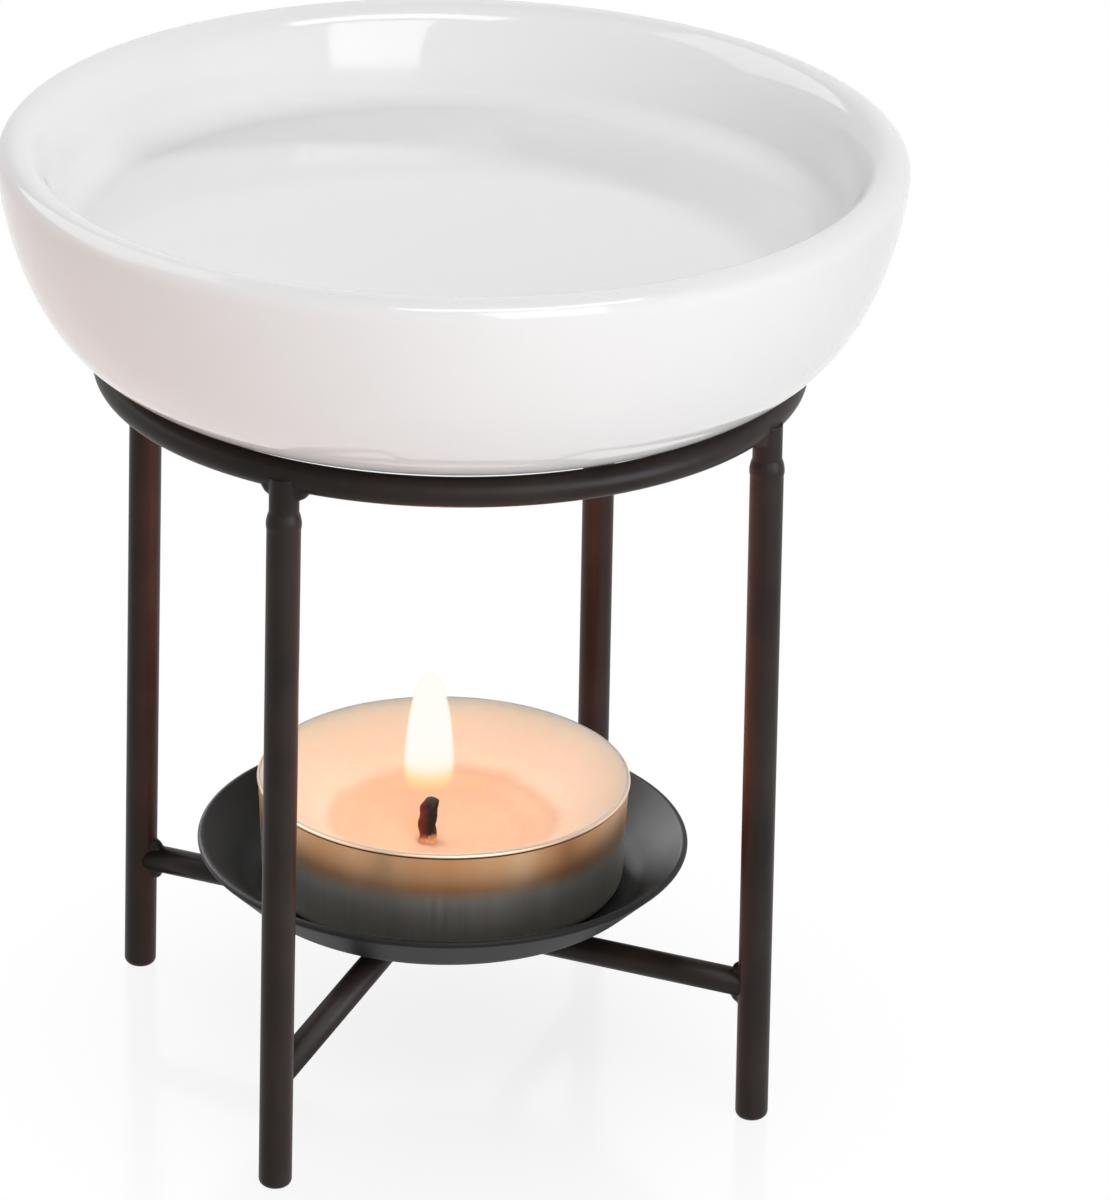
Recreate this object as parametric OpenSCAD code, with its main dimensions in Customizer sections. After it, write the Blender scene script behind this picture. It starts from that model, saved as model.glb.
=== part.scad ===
// Essential oil burner: a glazed dish in a welded wire stand, above a tealight on a pressed tray.
// Origin on the table at the stand's axis, +Z up, front towards -Y. Millimetres.

/* [Stand] */
// Radius of the ring, at the middle of its wire
ring_r = 34.8; // [32:0.1:40]
// Height of the ring above the table, at the middle of its wire
ring_z = 77.6; // [68:0.2:90]
// Wire of the ring
ring_wire = 3; // [2.4:0.1:4]
// Wire of the legs
leg_wire = 3.4; // [2.8:0.1:4.2]
// How far the legs stand outside the middle of the ring's wire
leg_out = 0.6; // [0:0.1:1]
// How far each foot stands out beyond the top of its leg
leg_splay = 1.1; // [0:0.1:3]
// Rounding round the foot of each leg
foot_round = 0.8; // [0.3:0.1:1.2]
// How much thinner a leg is at its neck, under the ring
neck_cut = 0.4; // [0.2:0.1:0.8]
// Length of the neck below the ring's wire
neck_len = 3; // [2:0.1:5]
// How far a weld spreads beyond the wire that it runs round
weld_spread = 0.9; // [0.5:0.1:1.2]

/* [Cross bars] */
// Wire of the two cross bars
bar_wire = 2.9; // [2.2:0.1:3.4]
// Height of the straight cross bar where the two cross, at the middle of its wire
bar_z = 14.1; // [10:0.1:20]
// How much higher the front end of that bar is welded than its back end
bar_rise = 2.2; // [0:0.1:3]
// How far the ends of the arched bar lie below its level middle
arch_drop = 4.8; // [2:0.1:6]
// Length of the level middle of the arched bar
arch_flat = 14; // [12:0.5:20]

/* [Tray] */
// Radius of the tray at its rim
tray_r = 25.8; // [24:0.1:31]
// Depth of the tray, from its floor to its rim
tray_depth = 4.8; // [3.6:0.1:5.6]
// Thickness of the tray's sheet
tray_sheet = 0.8; // [0.5:0.1:1.2]
// Inside radius of the bend between floor and wall
tray_bend = 5; // [2:0.5:6]
// Room between the tealight's flat base and the start of that bend
tray_room = 0.4; // [0.2:0.1:1]

/* [Tealight] */
// Radius of the cup at its rim
cup_r = 19.5; // [18:0.1:20.5]
// Height of the cup
cup_h = 11.6; // [11:0.1:16]
// Thickness of the cup's sheet
cup_sheet = 0.3; // [0.2:0.05:0.5]
// How far the rim's bead stands out from the wall
cup_bead = 0.15; // [0.1:0.05:0.6]
// How much the wall draws in from rim to base
cup_draft = 0.4; // [0.2:0.1:1]
// Rounding between base and wall
cup_corner = 1.4; // [0.8:0.1:2]
// How far below the rim the wax meets the wall
wax_drop = 0.25; // [0.25:0.05:1.2]
// Depth of the bowl that the flame has melted in the wax
melt_depth = 7.65; // [3:0.05:7.7]
// Thickness of the wick
wick_d = 1.7; // [1:0.1:2.2]
// Height of the wick above the wax
wick_h = 4.6; // [3:0.1:7]
// How far the wick stands off the cup's axis, to the left
wick_left = 1.6; // [0:0.1:3]
// How far the wick stands off the cup's axis, to the back
wick_back = 0.5; // [0:0.1:2]
// Radius of the sustainer's plate under the wick
sustainer_r = 6; // [4:0.5:9]
// Height of the tube that grips the wick
sustainer_h = 2.4; // [1.5:0.1:2.6]

/* [Dish] */
// Greatest radius of the dish, just below its lip
dish_r = 45.7; // [42:0.1:52]
// Height of the dish from its seat on the ring to the crest of its lip
dish_h = 22; // [17:0.1:28]
// Rounding radius of the lip's outer edge
lip_round = 1.8; // [1.4:0.1:2.6]
// Slope of the wall where it rests on the ring, in degrees
seat_slope = 18; // [12:1:28]
// How far the wall runs straight down below the lip before it curves in
wall_drop = 3; // [1:0.2:8]
// How far the wall runs out along the seat's slope before it turns up
belly_run = 9.6; // [6:0.2:12]
// Depth of the well, from the lip's crest to the floor
well_depth = 9.8; // [7:0.1:12]
// How far the lip rolls in from its crest to the foot of the well's wall
lip_roll = 4.2; // [3.4:0.1:6]
// How far the roll stays near level at the crest
roll_level = 2.5; // [1.5:0.1:3]
// Slope of the well's wall at its foot, in degrees
well_steep = 78; // [65:1:85]
// How far the well's wall runs up at that slope before it rolls over
well_run = 5; // [3:0.1:6]
// Rounding between the well's wall and its floor
well_round = 2.6; // [1.6:0.2:4]
// Thickness of the floor over the hollow underside
floor_t = 5; // [4:0.2:8]
// Width of the unglazed foot that runs round the underside
foot_w = 2.6; // [2:0.2:5]
// How far the foot hangs below the seat
foot_drop = 1.7; // [1:0.1:2.4]

/* [Fits] */
// Room between the dish and the ring that carries it
seat_gap = 0.15; // [0.1:0.05:0.3]
// Room between the tealight and the tray's floor
rest_gap = 0.1; // [0.05:0.05:0.3]
// Room between pieces that are welded or cast together
joint_gap = 0.02; // [0.01:0.01:0.05]

/* [Hidden] */
$fn = 96;

// Directions of the legs, counted from +X
front_left_angle = 225;
front_right_angle = 315;
back_left_angle = 135;
back_right_angle = 45;
leg_angles = [front_left_angle, front_right_angle, back_left_angle, back_right_angle];
straight_angles = [back_left_angle, front_right_angle];
arched_angles = [front_left_angle, back_right_angle];

leg_top_r = ring_r + leg_out;
leg_lean = atan2(leg_splay, ring_z);
leg_len = norm([leg_splay, ring_z]);
leg_top = leg_len - ring_wire * 0.3;
neck_r = leg_wire / 2 - neck_cut / 2;
neck_start = leg_len - ring_wire / 2 - neck_len;

arched_z = bar_z + bar_wire + joint_gap;
tray_z = arched_z + bar_wire / 2 + joint_gap;
tray_floor_z = tray_z + tray_sheet;
cup_z = tray_floor_z + rest_gap;

cup_wall_r = cup_r - cup_bead;
cup_base_r = cup_wall_r - cup_draft - cup_corner;
tray_flat_r = cup_base_r + tray_room;
wax_edge_z = cup_z + cup_h - wax_drop;
wax_low_z = wax_edge_z - melt_depth;
wick_pos = [-wick_left, wick_back];

seat_r = ring_r - sin(seat_slope) * (ring_wire / 2 + seat_gap);
seat_z = ring_z + cos(seat_slope) * (ring_wire / 2 + seat_gap);
crest_z = seat_z + dish_h;
lip_z = crest_z - lip_round;
lip_mid_r = dish_r - lip_round;
well_floor_z = crest_z - well_depth;
well_floor_r = lip_mid_r - lip_roll - well_round * sin(well_steep);
foot_z = seat_z - foot_drop;
foot_r = seat_r - foot_drop / tan(seat_slope);
hollow_z = well_floor_z - floor_t;
hollow_r = foot_r - foot_w;
hollow_round = 2;
hollow_draw = 1.5;
foot_edge = 0.6;
bead_extra = 0.3;
bead_side = 0.2;
weld_skin = 0.25;
plate_t = 0.3;
tube_flare = 1;
wick_lean = 0.3;
wick_bend = 0.62;

glaze_white = [0.93, 0.92, 0.91];
paint_black = [0.19, 0.17, 0.16];
weld_black = [0.22, 0.19, 0.17];
foil_tan = [0.74, 0.62, 0.5];
wax_peach = [0.98, 0.84, 0.74];
char_brown = [0.16, 0.08, 0.09];
plate_grey = [0.7, 0.7, 0.72];

// Points of an arc in the profile plane
function arc(c, r, from, to, steps) =
    [for (i = [0:steps]) let (a = from + (to - from) * i / steps) [c[0] + r * cos(a), c[1] + r * sin(a)]];

// A point of a cubic curve with its two handles
function curve_point(p, t) =
    pow(1 - t, 3) * p[0] + 3 * pow(1 - t, 2) * t * p[1] + 3 * (1 - t) * t * t * p[2] + pow(t, 3) * p[3];
function curve(p, steps) = [for (i = [0:steps]) curve_point(p, i / steps)];

// Distance of a leg's axis from the stand's axis at a height
function leg_r_at(z) = leg_top_r + leg_splay * (1 - z / ring_z);

// One leg, turned on its own axis with a rounded foot and a thinner neck, then leaned and cut level
module leg_shape(angle, grow = 0) {
    r = leg_wire / 2 + grow;
    n = neck_r + grow;
    profile = concat(
        [[0, 0]],
        arc([r - foot_round, foot_round], foot_round, -90, 0, 5),
        [[r, neck_start], [n, neck_start + neck_cut * 2], [n, leg_top], [0, leg_top]]
    );
    difference() {
        rotate([0, 0, angle])
            translate([leg_top_r + leg_splay, 0, 0])
                rotate([0, -leg_lean, 0])
                    translate([0, 0, -sin(leg_lean) * leg_wire / 2])
                        rotate_extrude() polygon(profile);
        translate([0, 0, -leg_wire]) cylinder(r = 2 * ring_r, h = leg_wire);
    }
}

module ring_shape(grow = 0) {
    translate([0, 0, ring_z])
        rotate_extrude() translate([ring_r, 0]) circle(r = ring_wire / 2 + grow, $fn = 48);
}

module leg(angle) {
    color(paint_black) difference() {
        leg_shape(angle);
        ring_shape(joint_gap);
    }
}

// A round wire bent through a row of points in the XZ plane, mitred at each bend
module bent_wire(points, r) {
    last = len(points) - 2;
    for (i = [0:last]) {
        a = points[i];
        d = points[i + 1] - a;
        dir = d / norm(d);
        before = i > 0 ? r : 0;
        after = i < last ? r : 0;
        difference() {
            translate([a[0] - dir[0] * before, 0, a[1] - dir[1] * before])
                rotate([0, 90 - atan2(dir[1], dir[0]), 0])
                    cylinder(r = r, h = norm(d) + before + after, $fn = 48);
            if (i > 0) mitre(points, i) translate([-8 * r, -4 * r, -4 * r]) cube(8 * r);
            if (i < last) mitre(points, i + 1) translate([0, -4 * r, -4 * r]) cube(8 * r);
        }
    }
}

// Places its children at a bend, with their YZ plane halfway between the two runs
module mitre(points, i) {
    a = points[i] - points[i - 1];
    b = points[i + 1] - points[i];
    n = a / norm(a) + b / norm(b);
    translate([points[i][0], 0, points[i][1]]) rotate([0, -atan2(n[1], n[0]), 0]) children();
}

// Both bars are drawn along X, then turned to the legs that they join
arch_end_z = arched_z - arch_drop;
arch_end_r = leg_r_at(arch_end_z);
straight_end_r = leg_r_at(bar_z);
straight_low_z = bar_z - bar_rise / 2;
straight_high_z = bar_z + bar_rise / 2;
straight_tilt = atan2(bar_rise / 2, straight_end_r);
straight_path = [[-straight_end_r, straight_low_z], [straight_end_r, straight_high_z]];
arched_path = [
    [-arch_end_r, arch_end_z], [-arch_flat / 2, arched_z],
    [arch_flat / 2, arched_z], [arch_end_r, arch_end_z]
];

module straight_bar_shape(grow = 0) {
    rotate([0, 0, front_right_angle]) bent_wire(straight_path, bar_wire / 2 + grow);
}

module arched_bar_shape(grow = 0) {
    rotate([0, 0, back_right_angle]) bent_wire(arched_path, bar_wire / 2 + grow);
}

// A fillet that spreads from a wire's surface at its start to its full spread at its end
module weld_collar(r, height) {
    rotate_extrude() polygon(concat(
        [[r / 2, 0]],
        arc([r + weld_spread, 0], weld_spread, 180, 95, 6),
        [[r + weld_spread, height], [r / 2, height]]
    ));
}

module tray_profile() {
    rim = [tray_r - tray_sheet, tray_sheet + tray_depth];
    c = [tray_flat_r, tray_sheet + tray_bend];
    d = rim - c;
    slope = atan2(d[1], d[0]) + asin(tray_bend / norm(d));
    edge = rim + [sin(slope), -cos(slope)] * tray_sheet / 2;
    polygon(concat(
        [[0, tray_sheet]],
        arc(c, tray_bend, -90, slope - 90, 8),
        arc(edge, tray_sheet / 2, slope + 90, slope - 90, 6),
        arc(c, tray_bend + tray_sheet, slope - 90, -90, 8),
        [[0, 0]]
    ));
}

module cup_profile() {
    t = cup_sheet;
    wall_base_r = cup_wall_r - cup_draft;
    c = [cup_base_r, cup_corner];
    bead = cup_bead / 2 + t / 2;
    polygon(concat(
        [[0, 0]],
        arc(c, cup_corner, -90, 0, 6),
        [[cup_wall_r, cup_h - 2 * bead]],
        arc([cup_r - bead, cup_h - bead], bead, 0, 180, 8),
        [[wall_base_r - t, cup_corner]],
        arc(c, cup_corner - t, 0, -90, 6),
        [[0, t]]
    ));
}

// Half outline of the wax, standing on the cup's floor
module wax_profile() {
    t = cup_sheet + joint_gap;
    wall_base_r = cup_wall_r - cup_draft;
    c = [cup_base_r, cup_corner];
    edge = cup_h - wax_drop;
    edge_r = wall_base_r + cup_draft * (edge - cup_corner) / (cup_h - cup_corner) - t;
    steps = 12;
    bowl = [for (i = [steps:-1:0]) let (k = i / steps) [edge_r * k, edge - melt_depth * (1 - k * k)]];
    polygon(concat(
        [[0, t]],
        arc(c, cup_corner - t, -90, 0, 6),
        bowl
    ));
}

// The wick's axis above the cup's floor, which leans a little and ends in a bent, charred tip
wick_foot = plate_t + joint_gap;
wick_knee = wax_low_z - cup_z - cup_sheet + wick_h * wick_bend;
wick_top = wax_low_z - cup_z - cup_sheet + wick_h;
wick_path = [[0, wick_foot], [0, sustainer_h], [-wick_lean, wick_knee], [wick_d / 2, wick_top]];

module wick_shape(grow = 0) {
    translate([wick_pos[0], wick_pos[1], cup_z + cup_sheet + 2 * joint_gap])
        bent_wire(wick_path, wick_d / 2 + grow);
}

module sustainer_shape(grow = 0) {
    tube = wick_d / 2 + plate_t + joint_gap;
    translate([wick_pos[0], wick_pos[1], cup_z + cup_sheet + 2 * joint_gap]) {
        cylinder(r = sustainer_r + grow, h = plate_t + grow);
        cylinder(r1 = tube + tube_flare + grow, r2 = tube + grow, h = sustainer_h + grow);
    }
}

// Glazed dish: rounded lip, belly that rests on the ring, shallow well and hollow underside
module ceramic_dish() {
    along_seat = [cos(seat_slope), sin(seat_slope)];
    seat = [seat_r, seat_z];
    wall = curve([[dish_r, lip_z], [dish_r, lip_z - wall_drop], seat + belly_run * along_seat, seat], 16);
    well_c = [well_floor_r, well_floor_z + well_round];
    well_foot = well_c + well_round * [sin(well_steep), -cos(well_steep)];
    up_well = well_foot + well_run * [cos(well_steep), sin(well_steep)];
    roll = curve([well_foot, up_well, [lip_mid_r - roll_level, crest_z], [lip_mid_r, crest_z]], 12);
    color(glaze_white) rotate_extrude() polygon(concat(
        [[0, well_floor_z]],
        arc(well_c, well_round, -90, well_steep - 90, 6),
        [for (i = [1:len(roll) - 2]) roll[i]],
        arc([lip_mid_r, lip_z], lip_round, 90, 0, 7),
        [for (i = [1:len(wall) - 1]) wall[i]],
        arc([foot_r, foot_z + foot_edge], foot_edge, -90 + seat_slope, -90, 3),
        [[hollow_r, foot_z]],
        arc([hollow_r - hollow_draw - hollow_round, hollow_z - hollow_round], hollow_round, 0, 90, 5),
        [[0, hollow_z]]
    ));
}

module support_ring() {
    color(paint_black) ring_shape();
}

module leg_front_left() { leg(front_left_angle); }
module leg_front_right() { leg(front_right_angle); }
module leg_back_left() { leg(back_left_angle); }
module leg_back_right() { leg(back_right_angle); }

module cross_bar_straight() {
    color(paint_black) difference() {
        straight_bar_shape();
        for (a = straight_angles) leg_shape(a, joint_gap);
    }
}

module cross_bar_arched() {
    color(paint_black) difference() {
        arched_bar_shape();
        for (a = arched_angles) leg_shape(a, joint_gap);
    }
}

module candle_tray() {
    color(paint_black) translate([0, 0, tray_z]) rotate_extrude() tray_profile();
}

// Fillets where the legs meet the underside of the ring: they spread along it, not beyond its wire
module ring_leg_welds() {
    start = leg_len - ring_wire / 2 - neck_len / 2;
    color(weld_black) for (a = leg_angles) difference() {
        intersection() {
            rotate([0, 0, a])
                translate([leg_top_r + leg_splay, 0, 0])
                    rotate([0, -leg_lean, 0])
                        translate([0, 0, start])
                            weld_collar(neck_r, leg_len - start);
            rotate_extrude() weld_band();
        }
        leg_shape(a, joint_gap);
        ring_shape(joint_gap);
    }
}

// Half outline of the band round the ring's underside in which those fillets lie
module weld_band() {
    inner = leg_top_r - neck_r - weld_skin;
    outer = leg_top_r + neck_r + weld_skin;
    shoulder = ring_z - ring_wire * 0.6;
    low = ring_z - ring_wire / 2 - neck_len;
    polygon([
        [inner, low], [outer, low], [outer, shoulder],
        [ring_r + ring_wire / 2, ring_z], [ring_r - ring_wire / 2, ring_z], [inner, shoulder]
    ]);
}

// Fillets where the ends of the two cross bars meet the legs
module bar_leg_welds() {
    arch_fall = atan2(arch_drop, arch_end_r - arch_flat / 2);
    color(weld_black) {
        bar_end_weld(back_left_angle, straight_end_r, straight_low_z, straight_tilt);
        bar_end_weld(front_right_angle, straight_end_r, straight_high_z, -straight_tilt);
        for (a = arched_angles) bar_end_weld(a, arch_end_r, arch_end_z, arch_fall);
    }
}

// One such fillet, round a bar that falls by an angle towards its leg, no wider than that leg
module bar_end_weld(angle, end_r, end_z, fall) {
    reach = leg_wire / 2 + weld_spread;
    tall = 2 * reach;
    wide = leg_wire + weld_skin;
    difference() {
        rotate([0, 0, angle]) translate([end_r, 0, end_z]) rotate([0, 90 + fall, 0]) difference() {
            intersection() {
                translate([0, 0, -reach]) weld_collar(bar_wire / 2, reach);
                translate([-tall, -wide / 2, -tall]) cube([2 * tall, wide, 2 * tall]);
            }
            translate([0, 0, -tall]) cylinder(r = bar_wire / 2 + joint_gap, h = 2 * tall, $fn = 48);
        }
        leg_shape(angle, joint_gap);
    }
}

// Beads in the four corners where the arched bar lies across the straight one
module bar_crossing_welds() {
    bead = weld_spread + bead_extra;
    at = bar_wire / 2 + bead_side;
    color(weld_black) difference() {
        for (x = [-at, at], y = [-at, at])
            rotate([0, 0, back_right_angle])
                translate([x, y, (bar_z + arched_z) / 2]) sphere(r = bead, $fn = 48);
        straight_bar_shape(joint_gap);
        arched_bar_shape(joint_gap);
    }
}

// Beads along both sides of the arched bar, under the tray's floor
module tray_welds() {
    bead = weld_spread;
    side = bar_wire / 2 - bead_side;
    long = arch_flat / 2;
    color(weld_black) for (y = [-side, side]) difference() {
        rotate([0, 0, back_right_angle]) translate([-long / 2, y, tray_z - bead / 2])
            rotate([0, 90, 0]) cylinder(r = bead, h = long, $fn = 48);
        arched_bar_shape(joint_gap);
        translate([0, 0, tray_z - joint_gap]) cylinder(r = tray_r, h = 4 * bead);
    }
}

module tealight_cup() {
    color(foil_tan) translate([0, 0, cup_z]) rotate_extrude() cup_profile();
}

module candle_wax() {
    color(wax_peach) difference() {
        translate([0, 0, cup_z]) rotate_extrude() wax_profile();
        sustainer_shape(joint_gap);
        wick_shape(joint_gap);
    }
}

module wick_sustainer() {
    color(plate_grey) difference() {
        sustainer_shape();
        wick_shape(joint_gap);
    }
}

module candle_wick() {
    color(char_brown) wick_shape();
}

ceramic_dish();
support_ring();
leg_front_left();
leg_front_right();
leg_back_left();
leg_back_right();
cross_bar_straight();
cross_bar_arched();
candle_tray();
ring_leg_welds();
bar_leg_welds();
bar_crossing_welds();
tray_welds();
tealight_cup();
candle_wax();
wick_sustainer();
candle_wick();
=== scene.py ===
# %% [markdown]
# # An essential oil burner
# A white glazed dish rests loose on the ring of a black wire stand. Under it a tealight burns on a
# pressed tray, and its heat warms the oil in the dish. This lesson dresses the measured model of that
# burner: it turns, bends and welds the visible pieces, gives each its finish, and lights them.
#
# The measured model comes in as a fixed frame. Every piece below is made in the same place and size as
# the solid that it stands for, so the first cell loads the frame and can read the box of each node.

# %% Load the measured model
import math

import bmesh
import bpy
from mathutils import Matrix, Vector, noise


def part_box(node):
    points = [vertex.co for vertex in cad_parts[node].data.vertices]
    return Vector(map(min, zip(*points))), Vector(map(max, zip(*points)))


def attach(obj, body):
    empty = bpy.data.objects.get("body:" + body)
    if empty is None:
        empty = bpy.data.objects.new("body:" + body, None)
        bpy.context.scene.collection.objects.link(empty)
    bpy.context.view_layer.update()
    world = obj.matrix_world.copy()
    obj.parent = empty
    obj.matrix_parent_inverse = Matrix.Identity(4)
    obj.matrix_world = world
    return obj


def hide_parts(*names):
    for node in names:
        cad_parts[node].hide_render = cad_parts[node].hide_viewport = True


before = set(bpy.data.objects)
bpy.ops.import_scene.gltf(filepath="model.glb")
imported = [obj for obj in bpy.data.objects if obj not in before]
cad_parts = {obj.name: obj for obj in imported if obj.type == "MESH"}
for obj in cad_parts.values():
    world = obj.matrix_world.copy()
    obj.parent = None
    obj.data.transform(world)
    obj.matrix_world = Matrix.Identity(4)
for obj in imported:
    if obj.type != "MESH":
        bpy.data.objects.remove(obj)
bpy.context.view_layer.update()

# %% [markdown]
# ## Sizes
# A lesson could type every size again, but then a change to the model would leave the looks behind.
# Here the main sizes are read from the nodes' own boxes, and only what a box can't tell, such as a
# rounding or a wall's thickness, is a named value. Outlines are written in millimetres, as a maker's
# drawing would be, and turned to metres where the mesh is made.

# %% Read the sizes of the nodes
MM = 0.001


def box_mm(name):
    """Lowest and highest corner of a node, in millimetres."""
    low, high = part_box(name)
    return low / MM, high / MM


dish_low, dish_high = box_mm("ceramic_dish")
ring_low, ring_high = box_mm("support_ring")
straight_low, straight_high = box_mm("cross_bar_straight")
arched_high = box_mm("cross_bar_arched")[1]
tray_low = box_mm("candle_tray")[0]
cup_low, cup_high = box_mm("tealight_cup")
wick_low, wick_high = box_mm("candle_wick")

ring_wire = ring_high.z - ring_low.z
ring_z = (ring_high.z + ring_low.z) / 2
ring_r = ring_high.x - ring_wire / 2
print(f"dish {2 * dish_high.x:.1f} mm wide, crest at {dish_high.z:.1f} mm")
print(f"ring {2 * ring_r:.1f} mm wide at {ring_z:.1f} mm, wire {ring_wire:.1f} mm")

# %% [markdown]
# ## Colours and nodes
# Colours are given as sRGB hex values, but a shader reckons in linear light, so one function
# turns the first into the second. A second function adds a shader node, sets its properties and fills
# its inputs, which keeps each material down to a short list of what it is made of.

# %% Colour and node helpers


def linear(hex_colour):
    """An sRGB hex colour as linear red, green, blue and alpha."""
    parts = [int(hex_colour[i:i + 2], 16) / 255 for i in (1, 3, 5)]
    return [c / 12.92 if c <= 0.04045 else ((c + 0.055) / 1.055) ** 2.4 for c in parts] + [1.0]


def add_node(tree, kind, inputs=None, stops=(), **settings):
    """Adds a node with its settings, fills its inputs, and colours the stops of a ramp.

    An input takes a value, the socket of another node, or a node, which stands for its first socket.
    """
    made = tree.nodes.new("ShaderNode" + kind)
    for key, value in settings.items():
        setattr(made, key, value)
    for key, value in (inputs or {}).items():
        if isinstance(value, bpy.types.Node):
            value = value.outputs[0]
        if isinstance(value, bpy.types.NodeSocket):
            tree.links.new(value, made.inputs[key])
        else:
            made.inputs[key].default_value = value
    for number, (position, colour) in enumerate(stops):
        made.color_ramp.elements[number].position = position
        made.color_ramp.elements[number].color = linear(colour)
    return made


def start_material(name):
    """An empty material, its node tree, and the place of each point in the piece's own frame."""
    material = bpy.data.materials.new(name)
    material.use_nodes = True
    tree = material.node_tree
    tree.nodes.clear()
    return material, tree, add_node(tree, "TexCoord").outputs["Object"]


print("half grey #808080 is", round(linear("#808080")[0], 2), "of white in linear light")

# %% [markdown]
# Most finishes are made of the same few things: a noise for what is uneven, a fade from one height or
# radius to another, and one shader that takes them in. Noises and fades are sized in millimetres, but a
# texture's own scale is how often it repeats in a metre.

# %% Pattern and finish helpers


def repeats(size_mm):
    """Texture scale at which one feature of a pattern is about this many millimetres wide."""
    return 1 / (size_mm * MM)


def pattern(tree, place, size_mm, detail):
    """A noise with features of about this many millimetres."""
    return add_node(tree, "TexNoise", {"Vector": place, "Scale": repeats(size_mm), "Detail": detail})


def fade(tree, length, start, end, kind="SMOOTHSTEP"):
    """A share that goes from 0 to 1 between two lengths in millimetres."""
    return add_node(tree, "MapRange", {
        "Value": length, "From Min": start * MM, "From Max": end * MM
    }, interpolation_type=kind)


def axis_distance(tree, place):
    """How far each point is from the burner's axis."""
    flat = add_node(tree, "Mapping", {"Vector": place, "Scale": (1, 1, 0)})
    return add_node(tree, "VectorMath", {0: flat}, operation="LENGTH").outputs["Value"]


def close_material(tree, inputs):
    """Ends a material with one shader that takes these inputs."""
    shader = add_node(tree, "BsdfPrincipled", inputs)
    add_node(tree, "OutputMaterial", {"Surface": shader})


print("a pattern of 2 mm repeats", round(repeats(2)), "times in a metre")

# %% [markdown]
# ## Turning and placing
# Most of this object is round, so most pieces are half an outline turned about an axis, as on a
# potter's wheel or a spinning lathe. Blender can do that with a Screw modifier or with the spin
# operator. The operator is used here because it leaves a plain mesh that can then be leaned and placed.
# A full spin merges its last step into its first, points on the axis are merged to one, and the
# normals are recalculated because a spin can turn the shape inside out. Smooth shading bends the light
# between two points, so a long straight stretch gets a holding point near each end.

# %% Lathe and piece helpers
FLAT_STRETCH = 1.2
HOLD = 0.12
LATHE_STEPS = 192
MERGE_DIST = MM / 1000


def arc(centre, radius, start, end, steps):
    """Points of a round stretch of an outline, from one angle to another, in degrees."""
    angles = [math.radians(start + (end - start) * i / steps) for i in range(steps + 1)]
    return [(centre[0] + radius * math.cos(a), centre[1] + radius * math.sin(a)) for a in angles]


def bezier(p, steps):
    """Points of a cubic curve from p[0] to p[3] with two handles between."""
    points = []
    for i in range(steps + 1):
        t = i / steps
        weights = ((1 - t) ** 3, 3 * (1 - t) ** 2 * t, 3 * (1 - t) * t * t, t ** 3)
        points.append(tuple(sum(w * q[k] for w, q in zip(weights, p)) for k in (0, 1)))
    return points


def hold_flats(outline):
    """Adds a point close to both ends of each long straight stretch, which keeps its shading flat."""
    held = [Vector(outline[0])]
    for point in outline[1:]:
        way = Vector(point) - held[-1]
        if way.length > FLAT_STRETCH:
            held += [held[-1] + way.normalized() * HOLD, Vector(point) - way.normalized() * HOLD]
        held.append(Vector(point))
    return held


def lathe(outline, steps=LATHE_STEPS, closed=False):
    """A form turned about Z from half an outline of (radius, height) points in millimetres."""
    bm = bmesh.new()
    verts = [bm.verts.new((r * MM, 0, z * MM)) for r, z in hold_flats(outline)]
    ends = verts[1:] + verts[:1] if closed else verts[1:]
    edges = [bm.edges.new(pair) for pair in zip(verts, ends)]
    bmesh.ops.spin(
        bm, geom=verts + edges, cent=(0, 0, 0), axis=(0, 0, 1), angle=math.tau, steps=steps,
        use_merge=True,
    )
    bmesh.ops.remove_doubles(bm, verts=bm.verts, dist=MERGE_DIST)
    bmesh.ops.recalc_face_normals(bm, faces=bm.faces)
    return bm


def make_piece(name, bm, material, body, slot, *nodes):
    """Turns a bmesh into a piece that rides on a body, in place of the nodes that it stands for."""
    mesh = bpy.data.meshes.new(name)
    bm.to_mesh(mesh)
    bm.free()
    mesh.shade_smooth()
    mesh.materials.append(material)
    made = bpy.data.objects.new(name, mesh)
    bpy.context.scene.collection.objects.link(made)
    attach(made, body)
    if nodes:
        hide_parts(*nodes)
    print(f"{name}: {len(mesh.polygons)} faces on {body}")
    return made


print("a turned form has", LATHE_STEPS, "steps round its axis")

# %% [markdown]
# ## Glazed stoneware
# The dish is cast or thrown stoneware under a gloss white glaze. To the eye that gives a clean, slightly
# cool white, sharp reflections of the lamps, and a surface that is never quite flat: glaze pools and
# ripples by a few hundredths of a millimetre. A plain glossy shader would look like plastic, so a broad
# noise moves the tone a little and a softer one bends the reflections. The foot that stands in the kiln
# is wiped bare before firing, so below a given height the finish changes to matt, cream clay.

# %% Tone of the glaze
GLAZE_CLOUD = 30.0
CLAY_GRIT = 0.6
BARE_FOOT = 0.9
WIPED_EDGE = 0.15
WELL_DEPTH = 9.8

glaze, tree, place = start_material("glazed_stoneware_gloss_white")
height = add_node(tree, "SeparateXYZ", {"Vector": place}).outputs["Z"]
foot_line = dish_low.z + BARE_FOOT
well_floor = dish_high.z - WELL_DEPTH
bare = fade(tree, height, foot_line + WIPED_EDGE, foot_line - WIPED_EDGE, "LINEAR")
cloud = pattern(tree, place, GLAZE_CLOUD, detail=2.0)
glaze_tone = add_node(tree, "ValToRGB", {"Fac": cloud}, [(0, "#EEEDED"), (1, "#F2F1F1")])
grit = pattern(tree, place, CLAY_GRIT, detail=3.0)
clay_tone = add_node(tree, "ValToRGB", {"Fac": grit}, [(0, "#B9AB98"), (1, "#DDD3C4")])
dish_tone = add_node(tree, "MixRGB", {"Fac": bare, "Color1": glaze_tone, "Color2": clay_tone})
print("glaze ends", round(foot_line, 1), "mm above the table")

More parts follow.
